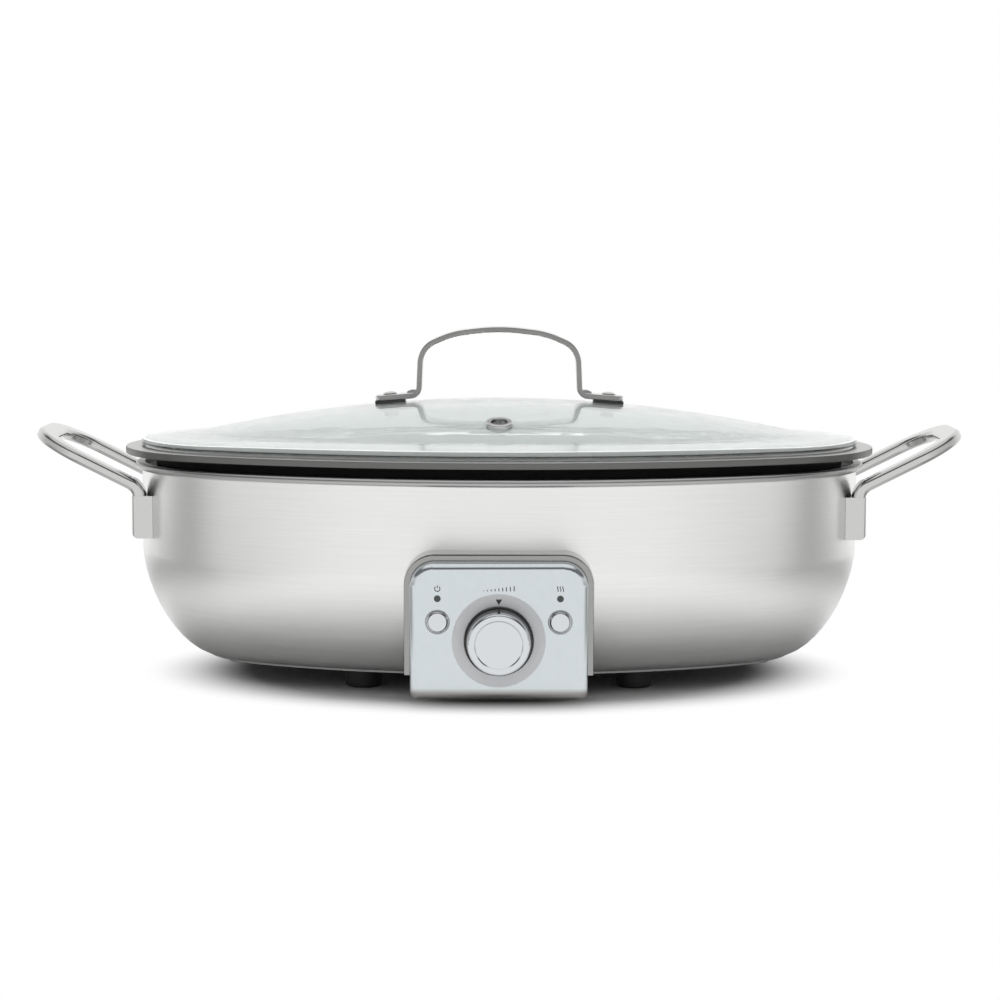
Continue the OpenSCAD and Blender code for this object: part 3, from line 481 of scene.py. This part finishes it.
dress(coated("dial_silver", (0.86, 0.87, 0.89), (0.81, 0.82, 0.84), 0.5, 0.35), "dial_disc")
dress(metal("button_chrome", (0.70, 0.72, 0.74), 0.10, fine_polish, 0.01 * mm),
      "power_button", "sear_button")
dress(coated("black_gloss", (0.012, 0.012, 0.013), (0.02, 0.02, 0.021), 0.2, 0.0), "knob_skirt")
dress(coated("black_plastic", (0.018, 0.018, 0.02), (0.03, 0.03, 0.032), 0.42, 0.0),
      "button_switches", "temperature_control", "cord_gland", "gland_nut", "wire_grommet")
dress(coated("black_rubber", (0.016, 0.016, 0.016), (0.028, 0.028, 0.028), 0.6, 0.0), "rubber_feet")
dress(coated("grey_silicone", (0.035, 0.035, 0.035), (0.05, 0.05, 0.05), 0.5, 0.0), "handle_gaskets")
dress(coated("lamp_lens", (0.07, 0.085, 0.08), (0.09, 0.11, 0.10), 0.15, 0.0),
      "power_lamp", "sear_lamp")
dress(coated("ceramic", (0.80, 0.77, 0.70), (0.72, 0.69, 0.62), 0.55, 0.0),
      "ceramic_beads", "thermal_fuse")
dress(coated("solder_mask", (0.02, 0.14, 0.07), (0.03, 0.18, 0.09), 0.35, 0.0), "control_board")

# %% [markdown]
# ## Control box
# The control box is pressed from sheet and has a satin silver coat. Its lower edge is rolled
# under, where it mirrors the dark floor and no longer the bright room. The rolled edge of the
# solid model is a little smaller than the real one, so a warmer and darker tone, a painted
# reflection of the dark floor, takes up the lowest few millimetres.

# %% Control box
box_low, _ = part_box("control_box")
panel = Finish("satin_silver")
specks = panel.noise(panel.at((300, 300, 300)), 3.0, 0.6)
z = panel.xyz(panel.at())[2]
edge_height = 6.4 * mm
edge_fade = 2.4 * mm
low_edge = ((box_low.z + edge_height - z) / edge_fade).clamp()
silver = panel.blend(specks, (0.69, 0.74, 0.76), (0.65, 0.70, 0.72))
# Painted reflection of the dark floor on the lowest few millimetres of the box.
painted_floor_reflection = (0.36, 0.35, 0.34)
dress(panel.surface({
    "Base Color": panel.blend(low_edge, silver, painted_floor_reflection), "Metallic": 0.9,
    "Roughness": 0.13 + 0.08 * (specks - 0.5),
    "Normal": panel.bump(specks, 0.2, 0.01 * mm)}), "control_box")

# %% [markdown]
# ## Knob
# The knob is a polished cap over a black moulded core. The core shows as a dark band round
# the back of the knob's side, next to the black skirt.

# %% Knob
knob_low, knob_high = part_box("control_knob")
cap_share = 0.34
core_y = knob_low.y + cap_share * (knob_high.y - knob_low.y)
cap = Finish("knob_cap")
rub = cap.noise(cap.at((300, 300, 300)), 3.0, 0.6)
y = cap.xyz(cap.at())[1]
core = ((y - core_y) / (0.3 * mm)).clamp()
dress(cap.surface({
    "Base Color": cap.blend(core, (0.69, 0.71, 0.73), (0.012, 0.012, 0.013)),
    "Metallic": 1 - core, "Roughness": 0.08 + 0.10 * core + 0.04 * rub,
    "Normal": cap.bump(rub, 0.15, 0.01 * mm)}), "control_knob")

# %% [markdown]
# ## Pan
# The pan is cast aluminium. Its outside is coated black and its inside pale grey, a coat that
# is made lighter by painted light, since little light reaches it through the glass. Its flange
# is bare: the ledge that carries the lid is brighter by painted light, and its flank darker by
# painted shade. All of this is one material: the distance from the oval's outline and the height
# tell which finish a point has. The oval is drawn with four arcs. The centre of an end's arc, the
# centre of a side's arc and the middle of the oval make a triangle with sides of 8, 15 and 17
# parts, so the distance is worked out from the arc's own centre. The wall's two sides are told
# apart by the way they face: away from the middle or towards it.

# %% Pan
def oval_distance(finish, length, depth):
    """Distance outside an oval of four arcs that is centred on the housing."""
    spread = (length - depth) / 12
    side, end = 15 * spread, 8 * spread
    round_end = depth / 2 - 2 * spread
    round_side = round_end + 17 * spread
    x, y, _ = finish.xyz(finish.at(centre=(0, middle_y, 0)))
    x = abs(x)
    y = abs(y)
    from_end = ((x - end) * (x - end) + y * y) ** 0.5 - round_end
    from_side = (x * x + (y + side) * (y + side)) ** 0.5 - round_side
    at_end = (x - end) * 15 > y * 8
    return from_side + at_end * (from_end - from_side)


cast = Finish("cast_pan")
pan_low, pan_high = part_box("cooking_pan")
outside = oval_distance(cast, pan_high.x - pan_low.x, pan_high.y - pan_low.y)
x, y, z = cast.xyz(cast.at(centre=(0, middle_y, 0)))
flange_thickness = 6.2 * mm
flange_width = 20.5 * mm
ledge_start = 9 * mm
bare = (z > pan_high.z - flange_thickness) * (outside > -flange_width)
flank = (outside > -0.8 * mm) * (z < pan_high.z - 1.6 * mm)
nx, ny, nz = cast.facing()
outer = ((nx * x + ny * y > 5 * mm) * (nz < 0.5) + (nz < -0.5)).clamp()
inside = (outside < 2 * mm - flange_width) * (1 - bare) * (1 - outer)
under_lid = bare * (outside < -ledge_start)
specks = cast.noise(cast.at((1200, 1200, 1200)), 3.0, 0.6)
# The pale grey inside coat is made lighter by painted light, and the ledge under the lid is painted light on
# the bare flange.
black_coat, grey_coat_and_painted_light = (0.012, 0.012, 0.014), (0.76, 0.77, 0.78)
flange_top, ledge_painted_light, flank_painted_shade = (0.52, 0.52, 0.51), (0.80, 0.80, 0.79), (0.17, 0.17, 0.165)
tone = cast.blend(inside, black_coat, grey_coat_and_painted_light)
tone = cast.blend(bare, tone, flange_top)
tone = cast.blend(under_lid, tone, ledge_painted_light)
# The flank's dark tone is painted shade on the bare flange.
tone = cast.blend(bare * flank, tone, flank_painted_shade)
dress(cast.surface({
    "Base Color": tone, "Metallic": bare * 0.9, "Roughness": 0.42 - 0.12 * bare + 0.1 * specks,
    "Normal": cast.bump(specks, 0.25, 0.03 * mm)}), "cooking_pan")

# %% [markdown]
# ## Glass lid
# Tempered glass is clear with a green edge, and steam and wiping leave a thin pale haze on
# it. The haze is a small share of matt surface in the clear glass: the rest of the light
# passes through and bends as in real glass. On the flat brim that rests on the pan, and more
# on its rounded edge, a pale surface is mixed in as painted light, for the light that the glass
# gathers there. A dark line at the foot of the edge is painted shadow, for the gap under the
# lid's rim.

# %% Glass
glass = Finish("tempered_glass")
waves = glass.noise(glass.at((25, 25, 25)), 1.0)
lid_low, lid_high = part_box("lid_glass")
from_edge = oval_distance(glass, lid_high.x - lid_low.x, lid_high.y - lid_low.y)
brim_width = 17 * mm
edge_width = 2.2 * mm
brim = ((from_edge + brim_width) / (1 * mm)).clamp()
rounded_edge = from_edge > -edge_width
z = glass.xyz(glass.at())[2]
# Painted shadow: a dark line at the foot of the edge, for the gap under the lid's rim.
painted_gap_shadow = rounded_edge * (z < lid_low.z + 0.9 * mm)
clear = glass.node("BsdfPrincipled", None, {
    "Base Color": glass.blend(waves, (0.85, 0.895, 0.88), (0.88, 0.915, 0.90)),
    "Roughness": 0.004 * waves, "IOR": 1.47, "Transmission Weight": 0.84})
# The pale surface on the brim and the edge is painted light, and the dark line is painted shadow.
painted_light_and_shadow = glass.blend(painted_gap_shadow, (0.90, 0.94, 0.92), (0.02, 0.025, 0.025))
pale = glass.node("BsdfPrincipled", None, {"Base Color": painted_light_and_shadow, "Roughness": 0.2})
share = 0.30 * brim + 0.55 * rounded_edge
dress(glass.end(glass.node("MixShader", None, {0: share, 1: clear, 2: pale})), "lid_glass")

# %% [markdown]
# ## Ending a new piece
# Every piece that is made here ends in the same way. Its place is moved into its mesh, so that
# its object stays at the origin as a imported part does. Doubled corners are joined, all faces
# are turned outwards, and edges up to 35 degrees are shaded smoothly. Then it gets its finish
# and the body that it moves with.

# %% Finish a new piece
def finish_piece(piece, name, body, material):
    """Puts a new piece at rest at the origin, with its place in its mesh, and dresses it."""
    select_only(piece)
    bpy.ops.object.transform_apply(location=True, rotation=True, scale=True)
    bpy.ops.object.mode_set(mode="EDIT")
    bpy.ops.mesh.select_all(action="SELECT")
    bpy.ops.mesh.remove_doubles(threshold=0.001 * mm)
    bpy.ops.mesh.normals_make_consistent(inside=False)
    bpy.ops.object.mode_set(mode="OBJECT")
    bpy.ops.object.shade_smooth_by_angle(angle=math.radians(35))
    piece.name = name
    piece.data.materials.clear()
    piece.data.materials.append(material)
    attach(piece, body)
    print(name, "has", len(piece.data.polygons), "faces")


# %% [markdown]
# ## Shape of the lid handle
# The lid handle is one flat bar. Its feet lie on pads on the glass, its legs stand nearly
# upright, and its top is a long, soft arch. The bar is drawn here as a line with rounded
# corners, in the plane through both screws. The line is thickened into an outline, and the
# outline is drawn out to the bar's width. An arc that is swept by angle gives every bend its
# true radius, which a curve pulled into shape by hand would not. The piece stands for the
# solid model's handle, whose arch has fewer bends.

# %% Places along a bent bar
def bent_path(corners, steps=12):
    """Places on a line through corners (right, up, radius) that are rounded with arcs."""
    spots = [Vector((right, 0, up)) for right, up, _ in corners]
    places = [spots[0]]
    for n in range(1, len(corners) - 1):
        back = (spots[n - 1] - spots[n]).normalized()
        onward = (spots[n + 1] - spots[n]).normalized()
        half = back.angle(onward) / 2
        radius = corners[n][2]
        middle = spots[n] + (back + onward).normalized() * radius / math.sin(half)
        first = spots[n] + back * radius / math.tan(half) - middle
        last = spots[n] + onward * radius / math.tan(half) - middle
        for step in range(steps + 1):
            places.append(middle + radius * first.slerp(last, step / steps))
    return places + [spots[-1]]


def drawn_out(name, outline, middle_at, width):
    """A prism whose outline lies in a plane of constant y."""
    bpy.ops.object.select_all(action="DESELECT")
    bpy.ops.mesh.primitive_circle_add(vertices=len(outline), radius=10 * mm, fill_type="NGON")
    piece = bpy.context.object
    piece.name = name
    for vertex, (right, up) in zip(piece.data.vertices, outline):
        vertex.co = (right, middle_at - width / 2, up)
    bpy.ops.object.mode_set(mode="EDIT")
    bpy.ops.mesh.select_all(action="SELECT")
    bpy.ops.mesh.extrude_region_move(TRANSFORM_OT_translate={"value": (0, width, 0)})
    bpy.ops.mesh.select_all(action="SELECT")
    bpy.ops.mesh.normals_make_consistent(inside=False)
    bpy.ops.object.mode_set(mode="OBJECT")
    print(name, "is drawn out from", len(outline), "places")
    return piece


# %% Where the lid handle stands
strap_low, strap_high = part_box("lid_handle")
strap_middle = (strap_low.y + strap_high.y) / 2
strap_width = strap_high.y - strap_low.y
strap_thickness = 3.2 * mm
screw_low, screw_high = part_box("handle_screws")
screw_head_radius = 4.55 * mm
screw_x = (screw_high.x - screw_low.x) / 2 - screw_head_radius
dome_radius = 0.8
foot_tilt = math.asin(screw_x / dome_radius)
pad_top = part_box("handle_gaskets")[1].z
pad_half = 8.7 * mm
foot_z = pad_top + strap_thickness / 2 - pad_half * math.sin(foot_tilt)


def on_foot(along, up):
    """A place beside the screw: along the foot, outwards, and up from the bar's middle."""
    return (screw_x + along * math.cos(foot_tilt) + up * math.sin(foot_tilt),
            foot_z - along * math.sin(foot_tilt) + up * math.cos(foot_tilt))


print("feet lean", round(math.degrees(foot_tilt), 1), "degrees, screws at", round(screw_x, 4))

# %% Arch of the lid handle
peak_fall = 0.12
peak_bend = 110 * mm
haunch_x = 27 * mm
haunch_fall = 0.44
haunch_bend = 50 * mm
shoulder_x = 45.4 * mm
shoulder_bend = 14 * mm
leg_x = 46.5 * mm
foot_bend = 5 * mm
tab_length = 8.5 * mm
bend_rise = peak_bend * (1 / math.cos(math.atan(peak_fall)) - 1)
corner_z = strap_high.z - strap_thickness / 2 + bend_rise
haunch_z = corner_z - haunch_x * peak_fall
shoulder_z = haunch_z - (shoulder_x - haunch_x) * haunch_fall
half = [(*on_foot(tab_length, 0), 0), (*on_foot(leg_x - screw_x, 0), foot_bend),
        (shoulder_x, shoulder_z, shoulder_bend), (haunch_x, haunch_z, haunch_bend)]
other_half = [(-x, z, bend) for x, z, bend in reversed(half)]
path = bent_path(half + [(0, corner_z, peak_bend)] + other_half)
upper = []
lower = []
for n, place in enumerate(path):
    ahead = path[min(n + 1, len(path) - 1)] - path[max(n - 1, 0)]
    out = Vector((-ahead.z, 0, ahead.x)).normalized() * strap_thickness / 2
    upper.append((place.x + out.x, place.z + out.z))
    lower.append((place.x - out.x, place.z - out.z))
strap = drawn_out("lid_handle_strap", upper + lower[::-1], strap_middle, strap_width)

# %% [markdown]
# ## Feet and edges of the lid handle
# Each foot ends in round corners, so the two short edges at its tip are bevelled with the foot's
# own radius. A small rib is pressed into the foot beside the leg to stiffen the bend. It is drawn
# out as the bar is. Last, a fine bevel breaks every sharp edge, as tumbling does to a cut bar.

# %% Round corners at the tips of the feet
bpy.ops.object.mode_set(mode="EDIT")
bpy.ops.mesh.select_all(action="DESELECT")
bpy.ops.object.mode_set(mode="OBJECT")
places = strap.data.vertices
for edge in strap.data.edges:
    start, stop = (places[v].co for v in edge.vertices)
    upright = abs(start.y - stop.y) < 0.1 * mm
    at_tip = min(abs(start.x), abs(stop.x)) > strap_high.x - 1 * mm
    edge.select = upright and at_tip
bpy.context.tool_settings.mesh_select_mode = (False, True, False)
bpy.ops.object.mode_set(mode="EDIT")
tip_radius = 4 * mm
bpy.ops.mesh.bevel(offset=tip_radius, segments=8, affect="EDGES")
bpy.ops.object.mode_set(mode="OBJECT")
print("handle's bar has", len(strap.data.vertices), "corners")


# %% Ribs and soft edges
def soften(piece, width):
    """Bevels every edge of a piece that is sharper than 35 degrees."""
    select_only(piece)
    bpy.ops.object.modifier_add(type="BEVEL")
    bevel = piece.modifiers[-1]
    bevel.width = width
    bevel.segments = 3
    bevel.limit_method = "ANGLE"
    bevel.angle_limit = math.radians(35)
    bpy.ops.object.modifier_apply(modifier=bevel.name)


rib_outline = [on_foot(-9 * mm, 0), on_foot(-10 * mm, 2.6 * mm), on_foot(-12.5 * mm, 3.5 * mm),
               on_foot(-15.5 * mm, 3.3 * mm), on_foot(-16 * mm, 0)]
rib_width = 4 * mm
ribs = []
for side in (-1, 1):
    mirrored_outline = [(side * x, z) for x, z in rib_outline]
    ribs.append(drawn_out("rib", mirrored_outline, strap_middle, rib_width))
soften(strap, 0.6 * mm)
for rib in ribs:
    soften(rib, 0.7 * mm)
select_only(strap)
for rib in ribs:
    rib.select_set(True)
bpy.ops.object.join()
finish_piece(strap, "lid_handle_strap", "lid", bar_steel)
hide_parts("lid_handle")
print("arch is", len(path), "places long and reaches", round(strap_high.z, 4), "m")

# %% [markdown]
# ## Triangle on the dial
# A printed triangle on the disc shows where the knob points. A circle with three corners is a
# triangle already. It is extruded by the height of a layer of ink, so that it catches the
# light as ink does and never flickers with the disc's own surface.

# %% Triangle on the dial
ink = coated("panel_ink", (0.035, 0.037, 0.04), (0.05, 0.052, 0.055), 0.45, 0.0)
disc_low, disc_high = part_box("dial_disc")
disc_z = (disc_low.z + disc_high.z) / 2
marker_side = 3.4 * mm
marker_rise = 21 * mm
ink_height = 0.08 * mm
ink_sunk = 0.02 * mm
bpy.ops.object.select_all(action="DESELECT")
bpy.ops.mesh.primitive_circle_add(
    vertices=3, radius=marker_side / 3 ** 0.5, fill_type="NGON", rotation=(-math.pi / 2, 0, 0),
    location=(0, disc_low.y + ink_sunk, disc_z + marker_rise))
bpy.ops.object.mode_set(mode="EDIT")
bpy.ops.mesh.extrude_region_move(TRANSFORM_OT_translate={"value": (0, -ink_height, 0)})
bpy.ops.object.mode_set(mode="OBJECT")
finish_piece(bpy.context.object, "dial_marker", "base", ink)

# %% [markdown]
# ## Rings round the buttons
# Each button sits in a thin half-round ring of chrome that is pressed into the panel. The
# button's own face has a fine dark line near its rim, where its cap ends. Both are a round
# wire that is spun once about the button's middle. Half of the ring lies in the panel. The
# dark line moves with its button.

# %% Rings round the buttons
ring_chrome = metal("ring_chrome", (0.50, 0.51, 0.52), 0.12, fine_polish, 0.01 * mm)


def ring(name, centre, radius, wire, body, material):
    """A round wire bent into a ring that faces the front."""
    bpy.ops.object.select_all(action="DESELECT")
    bpy.ops.mesh.primitive_circle_add(
        vertices=12, radius=wire / 2, location=centre + Vector((radius, 0, 0)))
    bpy.ops.object.mode_set(mode="EDIT")
    bpy.ops.mesh.select_all(action="SELECT")
    bpy.ops.mesh.spin(steps=72, angle=2 * math.pi, center=centre, axis=(0, 1, 0))
    bpy.ops.object.mode_set(mode="OBJECT")
    finish_piece(bpy.context.object, name, body, material)


for name in ("power_button", "sear_button"):
    low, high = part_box(name)
    centre = Vector(((low.x + high.x) / 2, box_low.y, (low.z + high.z) / 2))
    ring(name + "_ring", centre, 6.2 * mm, 0.7 * mm, "base", ring_chrome)
    centre.y = low.y + 0.12 * mm
    ring(name + "_seam", centre, 4.9 * mm, 0.36 * mm, body_of[name], ink)

# %% [markdown]
# ## Marks over the lamps and the dial
# The panel has plain marks over its lamps and its dial: an open circle with a stroke for
# power, a row of strokes that grow from low to high, and three waves for strong heat. Each
# stroke is a curve with a round section, which is turned into a mesh and flattened to a
# quarter of its thickness, as ink lies on a panel.

# %% Marks over the lamps and the dial
def panel_mark(name, strokes, width):
    """Draws round-ended strokes on the panel; a stroke is a list of (right, up) places."""
    curve = bpy.data.curves.new(name, "CURVE")
    curve.dimensions = "3D"
    curve.bevel_depth = width / 2
    curve.bevel_resolution = 2
    curve.use_fill_caps = True
    for stroke in strokes:
        line = curve.splines.new("POLY")
        line.points.add(len(stroke) - 1)
        for point, (right, up) in zip(line.points, stroke):
            point.co = (right, 0, up, 1)
    piece = bpy.data.objects.new(name, curve)
    scene.collection.objects.link(piece)
    select_only(piece)
    bpy.ops.object.convert(target="MESH")
    flattened = 0.25
    piece.scale = (1, flattened, 1)
    piece.location = (0, box_low.y - 0.02 * mm, 0)
    finish_piece(piece, name, "base", ink)


def arc(centre, radius, start, stop, steps=24):
    """Places along an arc; its angles are in degrees from the right, going up."""
    turns = [math.radians(start + (stop - start) * n / steps) for n in range(steps + 1)]
    right, up = centre
    return [(right + radius * math.cos(t), up + radius * math.sin(t)) for t in turns]


lamp_low, lamp_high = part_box("sear_lamp")
mark_x = (lamp_low.x + lamp_high.x) / 2
mark_z = lamp_high.z + 3 * mm
pen = 0.46 * mm
circle = arc((-mark_x, mark_z), 1.4 * mm, 130, 410)
upright = [(-mark_x, mark_z + 0.3 * mm), (-mark_x, mark_z + 1.8 * mm)]
panel_mark("power_mark", [circle, upright], pen)
waves = []
for offset in (-1.4 * mm, 0, 1.4 * mm):
    waves.append([(mark_x + offset + 0.25 * mm * math.sin(n * math.pi / 6),
                   mark_z + (n - 6) * 0.24 * mm) for n in range(13)])
panel_mark("heat_mark", waves, pen)
steps_up = []
for n in range(9):
    right = (n - 4) * 2 * mm
    steps_up.append([(right, mark_z - 1.3 * mm), (right, mark_z + (n * 0.3 - 0.9) * mm)])
panel_mark("level_mark", steps_up, 0.5 * mm)

# %% [markdown]
# ## Last checks
# The list of parts without a finish has to be empty.

# %% Check that every part is dressed
print("parts without a finish:", sorted(set(parts) - dressed))
